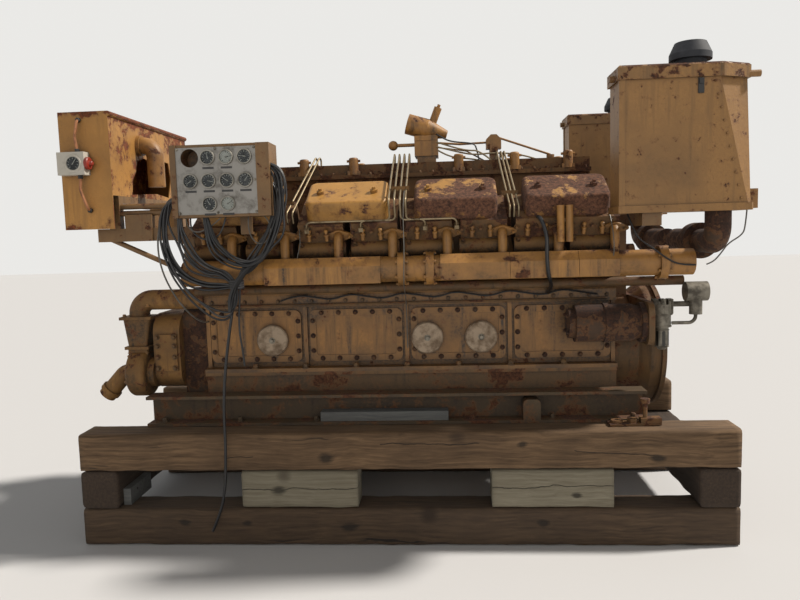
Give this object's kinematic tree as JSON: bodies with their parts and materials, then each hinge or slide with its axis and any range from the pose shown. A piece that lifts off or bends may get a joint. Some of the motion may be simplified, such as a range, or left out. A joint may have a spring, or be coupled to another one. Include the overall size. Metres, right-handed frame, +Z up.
{
  "type": "marine diesel engine on a timber crib",
  "caption": "Weathered yellow vee marine diesel engine with gauge panel, expansion tank and air cleaner boxes, standing on a timber crib.",
  "frame": {"origin": "on the ground at the middle of the footprint, under the crib", "axes": "+X from the pump end to the flywheel, +Y from the port bank to the starboard bank, +Z up"},
  "size_m": [3.496, 1.624, 2.476],
  "materials": {
    "engine_yellow": "weathered satin paint with rust",
    "rusted_paint": "paint rusted through, matt",
    "dark_iron": "oily dark casting",
    "bare_aluminium": "dull weathered",
    "plate_aluminium": "brushed plate",
    "steel_tube": "dull steel tube",
    "gauge_glass": "gauge dials behind glass",
    "white_housing": "painted housing",
    "clear_bowl": "clear bowl under a metal head",
    "black_cable": "matt sheath",
    "crib_brown": "rough sawn, weathered",
    "crib_grey": "aged grey blocks"
  },
  "bodies": {
    "root": {"accessory_housing": "dark_iron", "air_box_lids": "engine_yellow", "air_box_port": "engine_yellow", "air_box_stand": "engine_yellow", "air_box_starboard": "engine_yellow", "air_lubricator": "clear_bowl", "air_starter": "dark_iron", "base_rails": "engine_yellow", "breather_discs": "bare_aluminium", "cable_bundle_left": "black_cable", "cable_bundle_right": "black_cable", "control_linkage": "engine_yellow", "coolant_outlet_pipe": "engine_yellow", "crankcase": "engine_yellow", "crib_bottom_beams": "crib_brown", "crib_cross_timbers": "crib_brown", "crib_packing_planks": "crib_grey", "crib_spacer_blocks": "crib_grey", "crib_top_beams": "crib_brown", "cylinder_heads_port": "rusted_paint", "cylinder_heads_starboard": "rusted_paint", "drain_lines": "engine_yellow", "expansion_tank": "engine_yellow", "filter_canisters": "engine_yellow", "flywheel": "dark_iron", "flywheel_housing": "engine_yellow", "foot_plate": "rusted_paint", "front_gear_case": "engine_yellow", "fuel_tubes": "steel_tube", "gauge_panel_box": "engine_yellow", "gauge_plate": "plate_aluminium", "governor": "engine_yellow", "hanging_cable": "black_cable", "injection_pump": "engine_yellow", "inspection_covers_port": "engine_yellow", "inspection_covers_starboard": "engine_yellow", "level_gauge": "white_housing", "manifold_necks": "engine_yellow", "oil_pan": "engine_yellow", "panel_bracket": "engine_yellow", "panel_gauges": "gauge_glass", "pump_inlet_elbow": "engine_yellow", "rack_knob": "engine_yellow", "rain_caps": "dark_iron", "raw_water_pump": "engine_yellow", "relay_valve": "bare_aluminium", "short_cable": "black_cable", "tank_bracket": "engine_yellow", "tank_elbow": "engine_yellow", "tappet_housings_port": "engine_yellow", "tappet_housings_starboard": "engine_yellow", "turbo_inlet_ducts": "rusted_paint", "turbochargers": "rusted_paint", "valve_covers_port": "rusted_paint", "valve_covers_starboard": "rusted_paint", "vee_manifold": "rusted_paint", "water_manifold_port": "engine_yellow", "water_manifold_starboard": "engine_yellow", "water_risers_port": "engine_yellow", "water_risers_starboard": "engine_yellow"}
  },
  "joints": []
}
